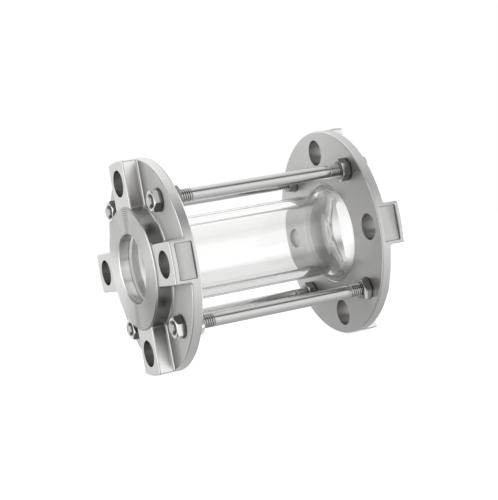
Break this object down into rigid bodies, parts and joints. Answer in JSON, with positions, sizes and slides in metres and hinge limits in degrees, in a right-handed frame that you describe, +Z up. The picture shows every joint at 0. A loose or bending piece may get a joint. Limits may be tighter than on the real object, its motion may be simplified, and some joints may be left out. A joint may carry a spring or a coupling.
{
  "type": "full view sight glass",
  "caption": "Flanged full view sight glass: a clear flared glass tube clamped between cast pipe flanges by tie rods and hex nuts, for watching the flow in a line.",
  "frame": {"origin": "on the flow axis, midway between the two raised faces", "axes": "+X along the flow axis from inlet to outlet, +Y and +Z through the ears, +Z up"},
  "size_m": [0.178, 0.1524, 0.1524],
  "materials": {
    "cast_steel": "satin cast",
    "rod_steel": "bright drawn",
    "nut_steel": "bright turned",
    "clear_glass": "clear polished",
    "gasket_sheet": "matte"
  },
  "bodies": {
    "root": {"inlet_flange": "cast_steel", "inlet_gasket": "gasket_sheet", "outlet_flange": "cast_steel", "outlet_gasket": "gasket_sheet", "glass_tube": "clear_glass", "tie_rod_1": "rod_steel", "inlet_outer_nut_1": "nut_steel", "inlet_inner_nut_1": "nut_steel", "outlet_inner_nut_1": "nut_steel", "outlet_outer_nut_1": "nut_steel", "tie_rod_2": "rod_steel", "inlet_outer_nut_2": "nut_steel", "inlet_inner_nut_2": "nut_steel", "outlet_inner_nut_2": "nut_steel", "outlet_outer_nut_2": "nut_steel", "tie_rod_3": "rod_steel", "inlet_outer_nut_3": "nut_steel", "inlet_inner_nut_3": "nut_steel", "outlet_inner_nut_3": "nut_steel", "outlet_outer_nut_3": "nut_steel", "tie_rod_4": "rod_steel", "inlet_outer_nut_4": "nut_steel", "inlet_inner_nut_4": "nut_steel", "outlet_inner_nut_4": "nut_steel", "outlet_outer_nut_4": "nut_steel"}
  },
  "joints": []
}
